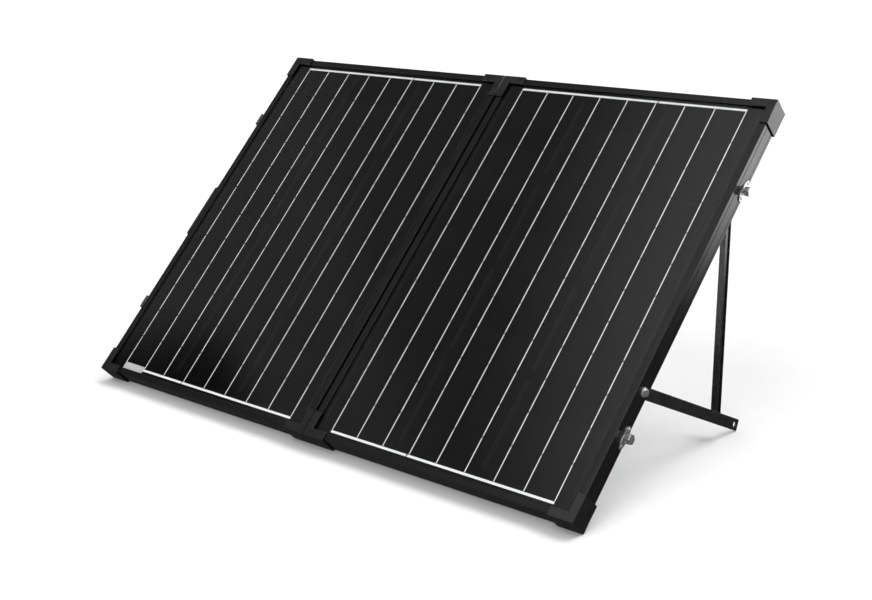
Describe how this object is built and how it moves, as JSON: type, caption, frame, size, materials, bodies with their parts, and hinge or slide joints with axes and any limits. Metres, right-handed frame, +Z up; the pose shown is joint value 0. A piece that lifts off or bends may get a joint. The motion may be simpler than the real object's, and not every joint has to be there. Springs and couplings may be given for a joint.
{
  "type": "folding solar panel",
  "caption": "Folding suitcase solar panel: framed glass panels hinged at the rear, standing on swing-out legs with braces, with draw latches and a carry handle.",
  "frame": {"origin": "bottom centre of the box around the open, standing charger, on the floor it stands on", "axes": "+X across both panels to the side with the latch keepers, +Y from the front edge back towards the legs, +Z up"},
  "size_m": [1.0412, 0.5376, 0.5003],
  "materials": {
    "anodised": "black anodised, satin",
    "plastic": "black moulded, fine grain",
    "glass": "low-iron tempered, smooth",
    "cells": "near-black cells in clear encapsulant",
    "backsheet": "white film",
    "steel": "bright plated",
    "board": "green board",
    "paint": "black powder coat, semi-gloss"
  },
  "bodies": {
    "right_panel": {"right_bottom_rail": "anodised", "right_outer_rail": "anodised", "right_top_rail": "anodised", "right_hinge_rail": "anodised", "right_bottom_hinge_cap": "plastic", "right_bottom_outer_cap": "plastic", "right_top_hinge_cap": "plastic", "right_top_outer_cap": "plastic", "right_glass": "glass", "right_cell_layer": "cells", "right_backsheet": "backsheet", "right_junction_base": "plastic", "right_junction_lid": "plastic", "right_terminal_board": "board", "right_cable_gland": "plastic", "right_brace_bolt": "steel", "right_brace_nut": "steel", "right_leg_bush": "plastic", "right_leg_bolt": "steel", "lower_hinge_right_leaf": "anodised", "upper_hinge_right_leaf": "anodised", "lower_hinge_pin": "steel", "upper_hinge_pin": "steel", "lower_keeper": "steel", "upper_keeper": "steel"},
    "left_panel": {"left_bottom_rail": "anodised", "left_outer_rail": "anodised", "left_top_rail": "anodised", "left_hinge_rail": "anodised", "left_bottom_hinge_cap": "plastic", "left_bottom_outer_cap": "plastic", "left_top_hinge_cap": "plastic", "left_top_outer_cap": "plastic", "left_glass": "glass", "left_cell_layer": "cells", "left_backsheet": "backsheet", "left_junction_base": "plastic", "left_junction_lid": "plastic", "left_terminal_board": "board", "left_cable_gland": "plastic", "left_brace_bolt": "steel", "left_brace_nut": "steel", "left_leg_bush": "plastic", "left_leg_bolt": "steel", "lower_hinge_left_leaf": "anodised", "upper_hinge_left_leaf": "anodised", "lower_latch_base": "steel", "upper_latch_base": "steel", "carry_handle": "plastic"},
    "right_leg": {"right_leg": "paint"},
    "right_brace": {"right_brace": "paint"},
    "right_thumb_screw": {"right_thumb_screw": "plastic"},
    "left_leg": {"left_leg": "paint"},
    "left_brace": {"left_brace": "paint"},
    "left_thumb_screw": {"left_thumb_screw": "plastic"},
    "lower_latch_lever": {"lower_latch_lever": "steel"},
    "lower_latch_bail": {"lower_latch_bail": "steel"},
    "upper_latch_lever": {"upper_latch_lever": "steel"},
    "upper_latch_bail": {"upper_latch_bail": "steel"}
  },
  "joints": [
    {"name": "suitcase_fold", "type": "hinge", "parent": "right_panel", "child": "left_panel", "pos_m": [0.0079, -0.24279, 0.00096], "axis": [0, -0.7348, -0.6783], "range_deg": [0, 180]},
    {"name": "right_leg_fold", "type": "hinge", "parent": "right_panel", "child": "right_leg", "pos_m": [0.5084, 0.15599, 0.39015], "axis": [-1, 0, 0], "range_deg": [0, 44.09]},
    {"name": "right_brace_fold", "type": "hinge", "parent": "right_panel", "child": "right_brace", "pos_m": [0.5084, -0.10052, 0.15379], "axis": [1, 0, 0], "range_deg": [0, 69.95]},
    {"name": "right_thumb_screw_turn", "type": "hinge", "parent": "right_leg", "child": "right_thumb_screw", "pos_m": [0.5084, 0.13598, 0.03203], "axis": [1, 0, 0], "continuous": true},
    {"name": "left_leg_fold", "type": "hinge", "parent": "left_panel", "child": "left_leg", "pos_m": [-0.4926, 0.15599, 0.39015], "axis": [-1, 0, 0], "range_deg": [0, 44.09]},
    {"name": "left_brace_fold", "type": "hinge", "parent": "left_panel", "child": "left_brace", "pos_m": [-0.4926, -0.10052, 0.15379], "axis": [1, 0, 0], "range_deg": [0, 69.95]},
    {"name": "left_thumb_screw_turn", "type": "hinge", "parent": "left_leg", "child": "left_thumb_screw", "pos_m": [-0.4926, 0.13598, 0.03203], "axis": [1, 0, 0], "continuous": true},
    {"name": "lower_latch_lever_lift", "type": "hinge", "parent": "left_panel", "child": "lower_latch_lever", "pos_m": [-0.4976, -0.14375, 0.09919], "axis": [0, -0.7348, -0.6783], "range_deg": [0, 90]},
    {"name": "lower_latch_bail_swing", "type": "hinge", "parent": "lower_latch_lever", "child": "lower_latch_bail", "pos_m": [-0.4976, -0.14605, 0.10168], "axis": [0, -0.7348, -0.6783], "range_deg": [0, 45]},
    {"name": "upper_latch_lever_lift", "type": "hinge", "parent": "left_panel", "child": "upper_latch_lever", "pos_m": [-0.4976, 0.15826, 0.37796], "axis": [0, -0.7348, -0.6783], "range_deg": [0, 90]},
    {"name": "upper_latch_bail_swing", "type": "hinge", "parent": "upper_latch_lever", "child": "upper_latch_bail", "pos_m": [-0.4976, 0.15595, 0.38046], "axis": [0, -0.7348, -0.6783], "range_deg": [0, 45]}
  ],
  "couplings": [
    {"joint": "right_leg_fold", "follows": "suitcase_fold", "ratio": 0.24496},
    {"joint": "right_brace_fold", "follows": "suitcase_fold", "ratio": 0.38861},
    {"joint": "left_leg_fold", "follows": "suitcase_fold", "ratio": 0.24496},
    {"joint": "left_brace_fold", "follows": "suitcase_fold", "ratio": 0.38861}
  ]
}
